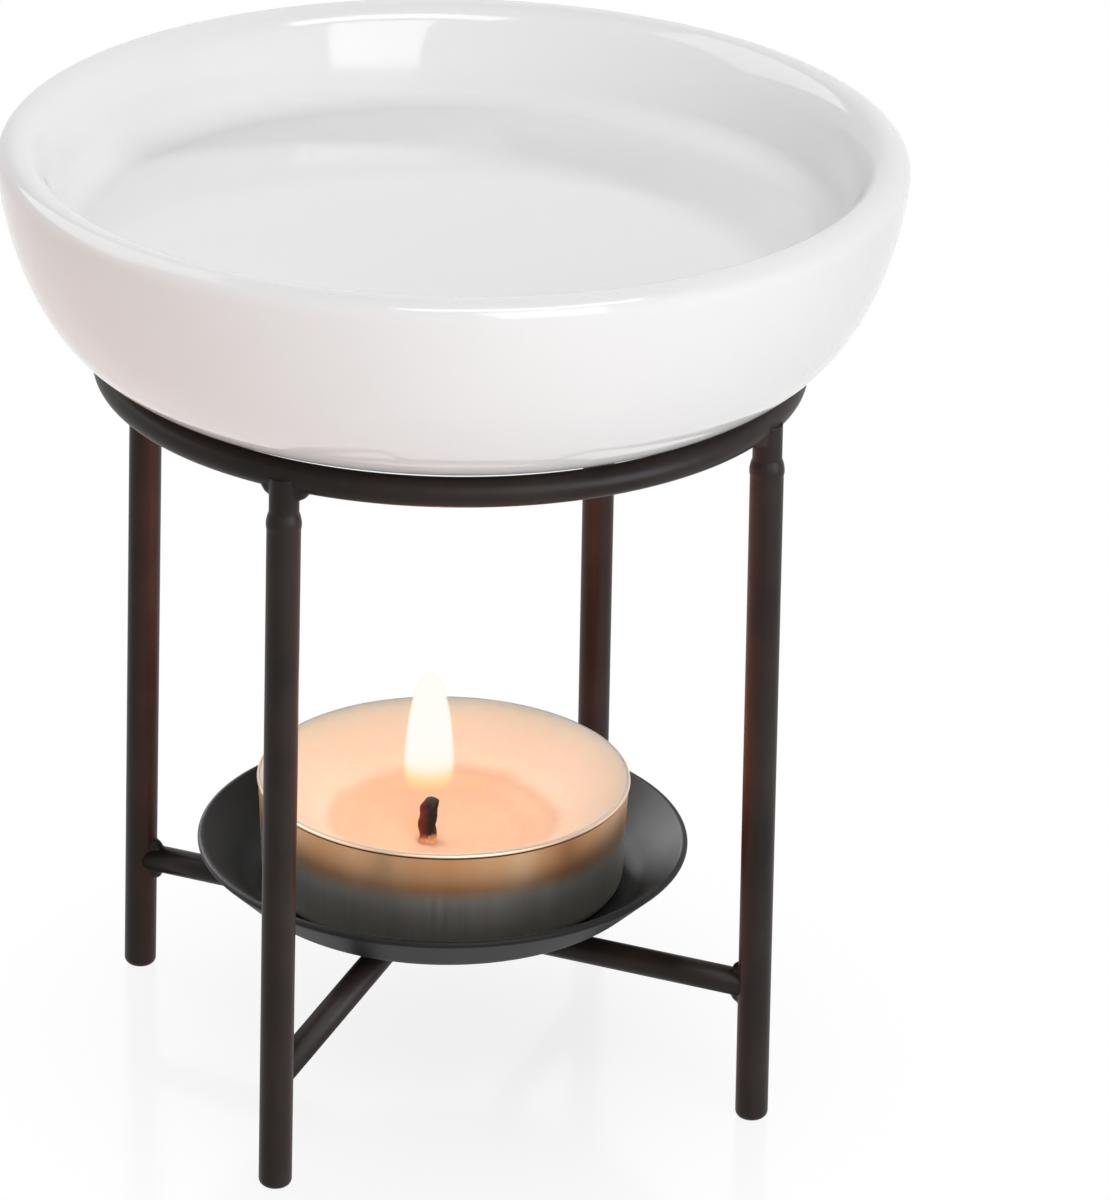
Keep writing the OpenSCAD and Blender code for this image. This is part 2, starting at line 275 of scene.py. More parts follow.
# %% [markdown]
# Gloss is the other half of a glaze. It is even nearly everywhere, and rough on the bare foot. In the
# corner of the well the glaze is taken to have run together thick and set dull, because no lamp is
# mirrored there. That corner is found by its distance from the axis and by its height.

# %% Gloss of the glaze
GLAZE_RIPPLE = 7.0
POOL_R = (34.0, 37.5, 41.0)
POOL_Z = (2.2, 5.0)
UNDER_WELL = 1.0

from_axis = axis_distance(tree, place)
near_corner = fade(tree, from_axis, POOL_R[0], POOL_R[1])
inside = add_node(tree, "Math", {0: from_axis, 1: POOL_R[2] * MM}, operation="LESS_THAN")
below_wall = fade(tree, height, well_floor + POOL_Z[1], well_floor + POOL_Z[0])
above_foot = add_node(tree, "Math", {
    0: height, 1: (well_floor - UNDER_WELL) * MM
}, operation="GREATER_THAN")
pooled = near_corner
for limit in (below_wall, inside, above_foot):
    pooled = add_node(tree, "Math", {0: pooled, 1: limit}, operation="MULTIPLY")
dish_mirror = add_node(tree, "MapRange", {"Value": pooled, "To Min": 0.5, "To Max": 0.06})
dish_rough = add_node(tree, "MapRange", {"Value": bare, "To Min": 0.07, "To Max": 0.8})
ripple = pattern(tree, place, GLAZE_RIPPLE, detail=1.0)
rippled = add_node(tree, "Bump", {"Height": ripple, "Strength": 0.25, "Distance": 0.03 * MM})
close_material(tree, {
    "Base Color": dish_tone,
    "Roughness": dish_rough,
    "IOR": 1.52,
    "Specular IOR Level": dish_mirror,
    "Normal": rippled,
})
print("the glaze is dull from", POOL_R[0], "mm to the wall of the well")

# %% [markdown]
# ## The dish
# The dish has a thick round lip, a wall that bellies in to the ring it sits on, a shallow well and a
# hollow underside with a foot. It could be sculpted, but a dish like this is made on a wheel or in a
# round mould, so turning its outline gives the true form: arcs for the lip's edge and the well's
# corner, and smooth curves for the belly and for the lip's soft roll into the well.

# %% Turn the dish
FLOOR_RINGS = 8
LIP_ROUND = 1.8
LIP_ROLL = 4.2
ROLL_LEVEL = 2.5
WELL_STEEP = 78.0
WELL_RUN = 5.0
WELL_ROUND = 2.6
WALL_DROP = 3.0
BELLY_RUN = 9.6
SEAT_SLOPE = 18.0
SEAT_GAP = 0.15
FLOOR_THICK = 5.0
FOOT_WIDE = 2.6
FOOT_EDGE = 0.6
HOLLOW_DRAW = 1.5
HOLLOW_ROUND = 2.0

slope = math.radians(SEAT_SLOPE)
along = Vector((math.cos(slope), math.sin(slope)))
seat = Vector((ring_r, ring_z)) + Vector((-along.y, along.x)) * (ring_wire / 2 + SEAT_GAP)
lip = Vector((dish_high.x - LIP_ROUND, dish_high.z - LIP_ROUND))
steep = math.radians(WELL_STEEP)
corner = Vector((lip.x - LIP_ROLL - WELL_ROUND * math.sin(steep), well_floor + WELL_ROUND))
well_foot = corner + Vector((math.sin(steep), -math.cos(steep))) * WELL_ROUND
up_well = well_foot + Vector((math.cos(steep), math.sin(steep))) * WELL_RUN
roll_over = [well_foot, up_well, (lip.x - ROLL_LEVEL, dish_high.z), (lip.x, dish_high.z)]
foot_r = seat.x - (seat.y - dish_low.z) / math.tan(slope)
hollow_r = foot_r - FOOT_WIDE
hollow_top = well_floor - FLOOR_THICK
belly = [(dish_high.x, lip.y), (dish_high.x, lip.y - WALL_DROP), seat + along * BELLY_RUN, seat]

dish_outline = (
    [(0, well_floor)]
    + [(corner.x * k / FLOOR_RINGS, well_floor) for k in range(1, FLOOR_RINGS)]
    + arc(corner, WELL_ROUND, -90, WELL_STEEP - 90, 14)
    + bezier(roll_over, 30)[1:-1]
    + arc(lip, LIP_ROUND, 90, 0, 16)
    + bezier(belly, 40)[1:]
    + arc((foot_r, dish_low.z + FOOT_EDGE), FOOT_EDGE, SEAT_SLOPE - 90, -90, 4)
    + arc((hollow_r + FOOT_EDGE, dish_low.z + FOOT_EDGE), FOOT_EDGE, -90, -180, 4)
    + arc((hollow_r - HOLLOW_DRAW - HOLLOW_ROUND, hollow_top - HOLLOW_ROUND), HOLLOW_ROUND, 0, 90, 8)
    + [(0, hollow_top)]
)
make_piece("glazed_dish", lathe(dish_outline, 256), glaze, "dish", "glazed_stoneware", "ceramic_dish")

# %% [markdown]
# ## Black painted steel
# The stand is mild steel wire, welded and then sprayed with satin black paint. Such paint looks brown
# in warm light and grey where it mirrors a pale room. Up close it has a fine orange-peel texture, and
# it is thicker in some places than in others. The grain of the spray is about a third of a millimetre,
# which is drawn a little coarser here so that it shows. The tray has a black coat as well, so one
# function makes both: a broad noise moves tone and gloss, and a fine one gives the coat its skin.

# %% Satin black paint
COAT_PATCH = 9.0
COAT_SKIN = 0.02
SPRAY_GRAIN = 0.5


def black_coat(name, tones, rough, mirror, grain, bump):
    """A black coat on steel: its tones, its roughness and mirror, and the grain and bump of its skin."""
    coat, tree, place = start_material(name)
    patch = pattern(tree, place, COAT_PATCH, detail=3.0)
    tone = add_node(tree, "ValToRGB", {"Fac": patch}, tones)
    gloss = add_node(tree, "MapRange", {"Value": patch, "To Min": rough[0], "To Max": rough[1]})
    fine = pattern(tree, place, grain, detail=2.0)
    skin = add_node(tree, "Bump", {"Height": fine, "Strength": bump, "Distance": COAT_SKIN * MM})
    close_material(tree, {
        "Base Color": tone,
        "Roughness": gloss,
        "IOR": 1.5,
        "Specular IOR Level": mirror,
        "Normal": skin,
    })
    print("coat:", name)
    return coat


paint_tones = [(0.3, "#1B1512"), (0.7, "#28201C")]
paint = black_coat("satin_black_sprayed_steel", paint_tones, (0.34, 0.46), 0.16, SPRAY_GRAIN, 0.3)

# %% [markdown]
# ## The ring
# The ring that carries the dish is one piece of wire, bent round and butt welded, with the weld ground
# flush. A torus primitive would do, but its sides would be fixed; turning a small circle keeps the same
# way of working as the dish and lets the wire have enough sides to stay round at its edge.

# %% Turn the ring
WIRE_SIDES = 32

ring_outline = arc((ring_r, ring_z), ring_wire / 2, 0, 360, WIRE_SIDES)[:-1]
ring_form = lathe(ring_outline, closed=True)
make_piece("ring_wire", ring_form, paint, "stand", "painted_steel", "support_ring")

# %% [markdown]
# ## The legs
# Each leg is a straight wire that leans out a little towards its foot. Its foot is tumbled round, and
# its top is pinched to a neck where it is butt welded under the ring, with a low ridge at the weld's
# toe. All legs are the same, so one outline is turned on the spot, leaned and carried to each corner.

# %% Turn and place the legs
LEG_WIRE = 3.4
LEG_OUT = 0.6
LEG_SPLAY = 1.1
FOOT_ROUND = 0.8
NECK_CUT = 0.4
NECK_LONG = 3.0
TOE_RIDGE = 0.12
TOE_START = 1.0
TOE_SWELL = 0.6
TOE_END = 0.8
LEG_RINGS = 10
CORNERS = {"front_left": 225, "front_right": 315, "back_left": 135, "back_right": 45}

leg_r = LEG_WIRE / 2
neck_r = leg_r - NECK_CUT / 2
leg_top_r = ring_r + LEG_OUT
leg_lean = math.atan2(LEG_SPLAY, ring_z)
leg_long = math.hypot(LEG_SPLAY, ring_z)
toe = leg_long - ring_wire / 2 - NECK_LONG
toe_curve = [
    (leg_r, toe - TOE_START), (leg_r + TOE_RIDGE, toe - TOE_SWELL), (leg_r + TOE_RIDGE, toe),
    (neck_r, toe + TOE_END),
]
leg_outline = (
    [(0, 0)]
    + arc((leg_r - FOOT_ROUND, FOOT_ROUND), FOOT_ROUND, -90, 0, 8)
    + [(leg_r, toe * k / LEG_RINGS) for k in range(1, LEG_RINGS)]
    + bezier(toe_curve, 10)
    + [(neck_r, leg_long), (0, leg_long)]
)


def leg_frame(angle):
    """Carries a leg drawn upright at the origin to its corner, leaning, with its foot on the table."""
    lift = Matrix.Translation((0, 0, math.sin(leg_lean) * (leg_r - FOOT_ROUND) * MM))
    lean = Matrix.Rotation(-leg_lean, 4, "Y")
    out = Matrix.Translation(((leg_top_r + LEG_SPLAY) * MM, 0, 0))
    return Matrix.Rotation(math.radians(angle), 4, "Z") @ out @ lift @ lean


for corner_name, angle in CORNERS.items():
    bm = lathe(leg_outline, 48)
    bmesh.ops.transform(bm, matrix=leg_frame(angle), verts=bm.verts)
    make_piece("leg_wire_" + corner_name, bm, paint, "stand", "painted_steel", "leg_" + corner_name)

# %% [markdown]
# ## The cross bars
# Two bars join opposite legs near the table. One is straight, welded a little higher at its front end.
# The other arches over it, so that the two can cross and the tray has something level to sit on. A
# curve with a round bevel would make both; here a circle of edges is pulled along its run and spun
# through each bend, which is how the wire is bent on a bench: straight, bend, straight.

# %% Wire helpers
BEND_STEPS = 8


def leg_r_at(z):
    """Distance of a leg's axis from the stand's axis at a height."""
    return leg_top_r + LEG_SPLAY * (1 - z / ring_z)


def open_wire(radius, start, direction):
    """The round start of a wire: a bmesh, and the edges that its next stretch grows from."""
    bm = bmesh.new()
    bmesh.ops.create_circle(bm, radius=radius * MM, segments=WIRE_SIDES)
    facing = Vector(direction).to_track_quat("Z", "Y").to_matrix().to_4x4()
    bmesh.ops.transform(bm, matrix=Matrix.Translation(Vector(start) * MM) @ facing, verts=bm.verts)
    return bm, list(bm.edges)


def run_wire(bm, edges, step):
    """Pulls the wire's end straight on, and returns its new end."""
    made = bmesh.ops.extrude_edge_only(bm, edges=edges)["geom"]
    verts = {v for v in made if isinstance(v, bmesh.types.BMVert)}
    bmesh.ops.translate(bm, verts=list(verts), vec=Vector(step) * MM)
    return [e for e in made if isinstance(e, bmesh.types.BMEdge) and set(e.verts) <= verts]


def bend_wire(bm, edges, centre, angle):
    """Spins the wire's end about a line along Y, and returns its new end."""
    verts = list({v for e in edges for v in e.verts})
    last = bmesh.ops.spin(
        bm, geom=verts + edges, cent=Vector(centre) * MM, axis=(0, 1, 0), angle=angle,
        steps=BEND_STEPS,
    )["geom_last"]
    return [e for e in last if isinstance(e, bmesh.types.BMEdge)]


def close_wire(bm, angle):
    """Caps a finished wire, and turns it from the X axis to its legs."""
    bmesh.ops.holes_fill(bm, edges=bm.edges)
    bmesh.ops.recalc_face_normals(bm, faces=bm.faces)
    bmesh.ops.transform(bm, matrix=Matrix.Rotation(math.radians(angle), 4, "Z"), verts=bm.verts)


print(f"the legs stand {leg_r_at(0):.1f} mm out at the table, {leg_r_at(ring_z):.1f} mm at the ring")

# %% [markdown]
# The straight bar is pulled in a few equal runs, so that its shading stays even. The arched bar climbs
# at the slope that just meets its two bends, so that slope is worked out first.

# %% Bend the cross bars
BAR_WIRE = 2.9
BAR_RISE = 2.2
BAR_RUNS = 8
ARCH_DROP = 4.8
ARCH_FLAT = 14.0
ARCH_BEND = 12.0

straight_z = (straight_high.z + straight_low.z) / 2
straight_end = leg_r_at(straight_z)
straight_half = Vector((straight_end, 0, BAR_RISE / 2))
bm, end = open_wire(BAR_WIRE / 2, Vector((0, 0, straight_z)) - straight_half, straight_half)
for _ in range(BAR_RUNS):
    end = run_wire(bm, end, straight_half * 2 / BAR_RUNS)
close_wire(bm, CORNERS["front_right"])
make_piece("straight_bar_wire", bm, paint, "stand", "painted_steel", "cross_bar_straight")

arched_z = arched_high.z - BAR_WIRE / 2
arch_end_z = arched_z - ARCH_DROP
arch_end = leg_r_at(arch_end_z)
span = Vector((arch_end - ARCH_FLAT / 2, ARCH_BEND - ARCH_DROP))
fall = math.asin(ARCH_BEND / span.length) - math.atan2(span.y, span.x)
ramp = math.sqrt(span.length_squared - ARCH_BEND ** 2)
uphill = Vector((math.cos(fall), 0, math.sin(fall)))
downhill = Vector((math.cos(fall), 0, -math.sin(fall)))
bm, end = open_wire(BAR_WIRE / 2, (-arch_end, 0, arch_end_z), uphill)
end = run_wire(bm, end, uphill * ramp)
end = bend_wire(bm, end, (-ARCH_FLAT / 2, 0, arched_z - ARCH_BEND), fall)
end = run_wire(bm, end, (ARCH_FLAT, 0, 0))
end = bend_wire(bm, end, (ARCH_FLAT / 2, 0, arched_z - ARCH_BEND), fall)
end = run_wire(bm, end, downhill * ramp)
close_wire(bm, CORNERS["back_right"])
make_piece("arched_bar_wire", bm, paint, "stand", "painted_steel", "cross_bar_arched")
print(f"the arched bar falls by {math.degrees(fall):.1f} degrees")

# %% [markdown]
# ## Matt black enamel
# The tray is dipped rather than sprayed. Its black is duller and more neutral than the wire's, with a
# soft sheen where the wall leans to a window, and the skin of so thick a coat is pimpled. It could share
# the wire's paint, but then it would shine as much.

# %% Black enamel
ENAMEL_PIMPLE = 0.7

enamel_tones = [(0, "#0F0F10"), (1, "#161517")]
enamel = black_coat("matt_black_enamel", enamel_tones, (0.5, 0.6), 0.25, ENAMEL_PIMPLE, 0.25)

# %% [markdown]
# ## The tray
# The tray is a disc of thin sheet pressed to a shallow bowl: a flat floor for the tealight, a wide bend
# and a sloping wall with a rounded edge. Its outline runs along the inside, round the edge and back
# along the outside, so the sheet has its real thickness from every side.

# %% Turn the tray
SHEET = 0.8
TRAY_R = 25.8
TRAY_DEPTH = 4.8
TRAY_BEND = 5.0
TRAY_FLAT = 17.95

rim = Vector((TRAY_R - SHEET, tray_low.z + SHEET + TRAY_DEPTH))
bend_at = Vector((TRAY_FLAT, tray_low.z + SHEET + TRAY_BEND))
reach = rim - bend_at
wall = math.degrees(math.atan2(reach.y, reach.x) + math.asin(TRAY_BEND / reach.length))
edge_at = rim + Vector((math.sin(math.radians(wall)), -math.cos(math.radians(wall)))) * SHEET / 2
tray_outline = (
    [(0, tray_low.z + SHEET)]
    + arc(bend_at, TRAY_BEND, -90, wall - 90, 16)
    + arc(edge_at, SHEET / 2, wall + 90, wall - 90, 10)
    + arc(bend_at, TRAY_BEND + SHEET, wall - 90, -90, 16)
    + [(0, tray_low.z)]
)
make_piece("pressed_tray", lathe(tray_outline), enamel, "stand", "painted_steel", "candle_tray")
print(f"the tray's wall rises at {wall:.0f} degrees")

# %% [markdown]
# ## The welds
# Under the paint each joint has a small fillet of weld metal that flows from one wire to the other.
# Bevelling a boolean cut would give an even fillet, too neat for hand welding, and booleans of round
# wires are fragile. Instead short stubs of the joined wires and a few beads are melted together with a
# voxel remesh and smoothed. The stubs shrink back inside the wires, and only the fillet shows.

# %% Weld helpers
WELD_VOXEL = 0.22
FLOW_STEPS = 8
STUB_SHRINK = 0.07


def add_stub(bm, radius, start, end):
    """Adds a short, slightly thin length of wire between two points in millimetres."""
    way = Vector(end) - Vector(start)
    facing = way.to_track_quat("Z", "Y").to_matrix().to_4x4()
    middle = Matrix.Translation((Vector(start) + way / 2) * MM)
    thin = (radius - STUB_SHRINK) * MM
    bmesh.ops.create_cone(
        bm, cap_ends=True, segments=WIRE_SIDES, radius1=thin, radius2=thin, depth=way.length * MM,
        matrix=middle @ facing,
    )


def add_bead(bm, radius, at):
    """Adds a round drop of weld metal at a point in millimetres."""
    bmesh.ops.create_uvsphere(
        bm, u_segments=16, v_segments=10, radius=radius * MM, matrix=Matrix.Translation(Vector(at) * MM)
    )


def melt(name, bm, node):
    """Makes one piece of the stubs and beads, melted together."""
    weld = make_piece(name, bm, paint, "stand", "painted_steel", node)
    remesh = weld.modifiers.new("melt", "REMESH")
    remesh.mode = "VOXEL"
    remesh.voxel_size = WELD_VOXEL * MM
    remesh.use_smooth_shade = True
    flow = weld.modifiers.new("flow", "SMOOTH")
    flow.factor = 0.5
    flow.iterations = FLOW_STEPS


def turned(point, angle):
    """A point in millimetres turned about the stand's axis, in degrees."""
    return Matrix.Rotation(math.radians(angle), 3, "Z") @ Vector(point)


print("welds are melted in steps of", WELD_VOXEL, "mm")

# %% [markdown]
# The four welds under the ring spread along it to both sides of the leg. Those at the bars' ends close
# round the bar, with a bead above and one below.

# %% Melt the welds of the legs
RING_STUB = 2.8
RING_BEAD = 0.95
BEAD_UP = 0.2
BEAD_OUT = 0.1
BAR_STUB = 2.6
BAR_BEAD = 0.75

bm = bmesh.new()
under = ring_z - ring_wire / 2
for angle in CORNERS.values():
    ends = [turned((ring_r, side * RING_STUB, ring_z), angle) for side in (-1, 1)]
    add_stub(bm, ring_wire / 2, *ends)
    low = under - NECK_LONG
    add_stub(bm, neck_r, turned((leg_r_at(low), 0, low), angle), turned((leg_top_r, 0, ring_z), angle))
    for side in (-1, 1):
        bead_at = (leg_top_r - LEG_OUT / 2, side * (neck_r + BEAD_OUT), under + BEAD_UP)
        add_bead(bm, RING_BEAD, turned(bead_at, angle))
melt("ring_leg_fillets", bm, "ring_leg_welds")

tilt = math.atan2(BAR_RISE / 2, straight_end)
bar_ends = [
    (CORNERS["back_left"], straight_end, straight_z - BAR_RISE / 2, tilt),
    (CORNERS["front_right"], straight_end, straight_z + BAR_RISE / 2, -tilt),
    (CORNERS["front_left"], arch_end, arch_end_z, fall),
    (CORNERS["back_right"], arch_end, arch_end_z, fall),
]
bm = bmesh.new()
for angle, reach, z, lean in bar_ends:
    back = leg_r + BAR_STUB
    inner = (reach - back * math.cos(lean), 0, z + back * math.sin(lean))
    add_stub(bm, BAR_WIRE / 2, turned(inner, angle), turned((reach, 0, z), angle))
    low, high = z - BAR_STUB, z + BAR_STUB
    add_stub(bm, leg_r, turned((leg_r_at(low), 0, low), angle), turned((leg_r_at(high), 0, high), angle))
    for side in (-1, 1):
        bead_at = (reach - leg_r - BEAD_OUT, 0, z + side * (BAR_WIRE / 2 + BEAD_OUT))
        add_bead(bm, BAR_BEAD, turned(bead_at, angle))
melt("bar_end_fillets", bm, "bar_leg_welds")

# %% [markdown]
# Where the bars cross there is a drop in each corner, and two short runs of beads hold the tray to the
# arched bar. Every second bead of a run is a little bigger, as from a hand that moves in steps.

# %% Melt the welds of the bars and the tray
CROSS_STUB = 4
CROSS_BEAD = 1.2
TRAY_RUN = range(-3, 4)
TRAY_BEAD = 0.8
TRAY_BEAD_MORE = 0.06
TRAY_BEAD_STEP = 1.15
TRAY_BEAD_IN = 0.2
TRAY_BEAD_DOWN = 0.45

bm = bmesh.new()
corner_off = BAR_WIRE / 2 + BEAD_OUT
for angle, z in ((CORNERS["front_right"], straight_z), (CORNERS["back_right"], arched_z)):
    add_stub(bm, BAR_WIRE / 2, *(turned((x, 0, z), angle) for x in (-CROSS_STUB, CROSS_STUB)))
for x in (-corner_off, corner_off):
    for y in (-corner_off, corner_off):
        bead_at = (x, y, (straight_z + arched_z) / 2)
        add_bead(bm, CROSS_BEAD, turned(bead_at, CORNERS["back_right"]))
melt("crossing_beads", bm, "bar_crossing_welds")

bm = bmesh.new()
for side in (-1, 1):
    for k in TRAY_RUN:
        along_bar, beside = k * TRAY_BEAD_STEP, side * (BAR_WIRE / 2 - TRAY_BEAD_IN)
        bead_at = (along_bar, beside, tray_low.z - TRAY_BEAD_DOWN)
        bead_size = TRAY_BEAD + TRAY_BEAD_MORE * (k % 2)
        add_bead(bm, bead_size, turned(bead_at, CORNERS["back_right"]))
melt("tray_beads", bm, "tray_welds")

# %% [markdown]
# ## Drawn aluminium
# A tealight's cup is deep drawn from bright aluminium sheet. It mirrors what is round it: the pale table
# above, the black tray below. Drawing leaves fine upright lines, so the mirror is streaked: a noise that
# is stretched along the height gives them. Towards the rim the tone turns tan, a painted warm glow that
# stands in for the candle-lit wax's light on the cup, so the tone changes with the height, with a
# blurred edge. A broader noise smears the painted tan round the cup, and at the rim a thin cream band
# is a painted highlight along the bead.

# %% Aluminium with a painted warm glow
DRAW_LINE = 0.5
DRAW_LENGTH = 20.0
GLOW_SMEAR = 10.0
GLOW_FROM = 6.0
GLOW_FULL = 3.9
RIM_HIGHLIGHT = 0.4

foil, tree, place = start_material("drawn_aluminium_painted_glow")
height = add_node(tree, "SeparateXYZ", {"Vector": place}).outputs["Z"]
# Painted warm glow: below the rim the metal turns tan, standing in for the candle-lit wax's light.
glow_share = fade(tree, height, cup_high.z - GLOW_FROM, cup_high.z - GLOW_FULL)
# Painted highlight: a thin cream band along the rim's bead.
rim_highlight = fade(tree, height, cup_high.z - RIM_HIGHLIGHT, cup_high.z - RIM_HIGHLIGHT / 2, "LINEAR")
upright = add_node(tree, "Mapping", {"Vector": place, "Scale": (1, 1, DRAW_LINE / DRAW_LENGTH)})
lines = pattern(tree, upright, DRAW_LINE, detail=3.0)
bare_tone = add_node(tree, "ValToRGB", {"Fac": lines}, [(0, "#D6D4CA"), (1, "#E2E0D7")])
smear = pattern(tree, upright, GLOW_SMEAR, detail=2.0)
painted_glow_tone = add_node(tree, "ValToRGB", {"Fac": smear}, [(0.32, "#C08B60"), (0.66, "#DAB18B")])
foil_tone = add_node(tree, "MixRGB", {"Fac": glow_share, "Color1": bare_tone, "Color2": painted_glow_tone})
rim_tone = add_node(tree, "MixRGB", {
    "Fac": rim_highlight, "Color1": foil_tone, "Color2": linear("#EFCFB4")
})
foil_rough = add_node(tree, "MapRange", {"Value": lines, "To Min": 0.34, "To Max": 0.42})
drawn = add_node(tree, "Bump", {"Height": lines, "Strength": 0.05, "Distance": 0.01 * MM})
close_material(tree, {
    "Base Color": rim_tone,
    "Metallic": 1.0,
    "Roughness": foil_rough,
    "Normal": drawn,
})
print("cup finish:", foil.name)

# %% [markdown]
# ## The cup
# The cup is a straight-walled drawing with a small round corner at its base and a fine bead rolled
# outwards at its rim. A plain tube would have a knife's edge there. It is turned as one thin closed
# sheet, with its inside as well, so the rim has its real thickness next to the wax.

# %% Turn the cup
FOIL = 0.3
CUP_BEAD = 0.15
BEAD_FROM = -40
CUP_DRAFT = 0.4
CUP_CORNER = 1.4

cup_wall_r = cup_high.x - CUP_BEAD
cup_base_r = cup_wall_r - CUP_DRAFT - CUP_CORNER
bead_r = CUP_BEAD / 2 + FOIL / 2
cup_corner = (cup_base_r, cup_low.z + CUP_CORNER)
cup_outline = (
    [(0, cup_low.z)]
    + arc(cup_corner, CUP_CORNER, -90, 0, 10)
    + [(cup_wall_r, cup_high.z - 2 * bead_r)]
    + arc((cup_high.x - bead_r, cup_high.z - bead_r), bead_r, BEAD_FROM, 180, 12)
    + [(cup_wall_r - CUP_DRAFT - FOIL, cup_low.z + CUP_CORNER)]
    + arc(cup_corner, CUP_CORNER - FOIL, 0, -90, 10)
    + [(0, cup_low.z + FOIL)]
)
make_piece("tealight_foil_cup", lathe(cup_outline), foil, "tealight", "drawn_aluminium", "tealight_cup")

# %% [markdown]
# ## Paraffin wax
# Candle wax lets light in and scatters it, so it glows round the flame and its edges look soft. That is
# subsurface scattering: the shader is told how many millimetres each colour travels, red the furthest.
# Within the pool's edge round the wick the tone is a deeper peach than the pale rest, so the tone
# changes with the distance from the wick, with some unevenness.

# %% Peach wax
WAX_CLOUD = 5.0
MELT_R = 12.3
MELT_WOBBLE = 1.2
MELT_BLUR = (1.2, 0.6)

wax, tree, place = start_material("paraffin_wax_peach")
from_axis = axis_distance(tree, place)
clouds = pattern(tree, place, WAX_CLOUD, detail=3.0)
wobble = add_node(tree, "MapRange", {
    "Value": clouds, "To Min": -MELT_WOBBLE * MM, "To Max": MELT_WOBBLE * MM
})
uneven = add_node(tree, "Math", {0: from_axis, 1: wobble}, operation="ADD")
melted = fade(tree, uneven, MELT_R - MELT_BLUR[0], MELT_R + MELT_BLUR[1])
wax_tone = add_node(tree, "ValToRGB", {"Fac": melted}, [(0, "#EDC8AC"), (1, "#FBE1CE")])
pitted = add_node(tree, "Bump", {"Height": clouds, "Strength": 0.35, "Distance": 0.12 * MM})
close_material(tree, {
    "Base Color": wax_tone,
    "Roughness": 0.42,
    "IOR": 1.44,
    "Subsurface Weight": 0.7,
    "Subsurface Radius": (1.0, 0.55, 0.3),
    "Subsurface Scale": 3.0 * MM,
    "Normal": pitted,
})
print("wax finish:", wax.name)

# %% [markdown]
# ## The wax
# The flame has melted a bowl in the wax, deepest round the wick, with a few faint ridges where the
# molten pool stood and set again. At the edge it has crept up over the cup's bead, so hardly any metal
# shows at the rim. The outline follows the inside of the cup, climbs the bead and then falls along a
# parabola, with a ripple added near the pool's edge. A little noise moves the points up and down so
# that the surface doesn't look machined.

# %% Turn the wax
WAX_DROP = 0.25
MELT_DEPTH = 7.65
WAX_GAP = 0.02
BRIM_IN = 0.2
BRIM_UP = 0.02
RIDGE = 0.12
RIDGE_PACE = 1.9
RIDGE_INSIDE = 2
RIDGE_SPREAD = 3.5
LUMP = 0.1
LUMP_WIDE = 4.0
EDGE_STILL = 0.5
LOOKS_UP = 0.2
WAX_STEPS = 44

wax_edge_z = cup_high.z - WAX_DROP
brim_z = cup_high.z + BRIM_UP
edge_share = (wax_edge_z - cup_low.z - CUP_CORNER) / (cup_high.z - cup_low.z - CUP_CORNER)
wax_edge_r = cup_wall_r - CUP_DRAFT * (1 - edge_share) - FOIL - WAX_GAP


def wax_height(r):
    """Height of the wax at a distance from the cup's axis, with its ridges."""
    share = r / wax_edge_r
    near_pool = math.exp(-((r - MELT_R + RIDGE_INSIDE) / RIDGE_SPREAD) ** 2)
    ridge = math.sin(r * RIDGE_PACE) * near_pool
    return wax_edge_z - MELT_DEPTH * (1 - share * share) + RIDGE * ridge


brim_r = cup_high.x - BRIM_IN
bowl_rs = [wax_edge_r * k / WAX_STEPS for k in range(WAX_STEPS - 1, -1, -1)]
wax_outline = (
    [(0, cup_low.z + FOIL + WAX_GAP)]
    + arc(cup_corner, CUP_CORNER - FOIL - WAX_GAP, -90, 0, 6)
    + [(brim_r, cup_high.z - BRIM_IN), (brim_r, brim_z), (wax_edge_r, brim_z)]
    + [(r, wax_height(r)) for r in bowl_rs]
)
bm = lathe(wax_outline, 160)
for v in bm.verts:
    r = math.hypot(v.co.x, v.co.y) / MM
    if v.normal.z > LOOKS_UP and r < wax_edge_r - EDGE_STILL:
        v.co.z += LUMP * MM * noise.noise(v.co * repeats(LUMP_WIDE))
make_piece("melted_wax", bm, wax, "tealight", "paraffin_wax", "candle_wax")

# %% [markdown]
# ## Charred wick
# The wick is a cotton braid. Its upper part has burnt to black charcoal, with a painted dull red glow of
# the hot char down one side; at its foot, where wax still soaks it, it is pale. The change is by height,
# broken up by a noise, and charcoal is rough and dull. The braid has three strands, so the section has
# three lobes that wind round as the wick climbs.

# %% Char and cotton
FIBRE = 0.35
CHAR_LINE = 0.95
CHAR_BLUR = (0.5, 0.4)
RAGGED = 0.5
GLOW_SIDE = (-0.25, -0.95)

char, tree, place = start_material("charred_cotton_braid")
apart = add_node(tree, "SeparateXYZ", {"Vector": place}).outputs
height = apart["Z"]
fibre = pattern(tree, place, FIBRE, detail=3.0)
ragged = add_node(tree, "MapRange", {"Value": fibre, "To Min": -RAGGED * MM, "To Max": RAGGED * MM})
burnt_at = add_node(tree, "Math", {0: height, 1: ragged}, operation="ADD")
char_z = wax_height(0) + CHAR_LINE
burnt = fade(tree, burnt_at, char_z - CHAR_BLUR[0], char_z + CHAR_BLUR[1], "LINEAR")
char_tone = add_node(tree, "ValToRGB", {"Fac": burnt}, [(0, "#E9B287"), (1, "#140B0C")])
wick_middle_x = (wick_low.x + wick_high.x) / 2
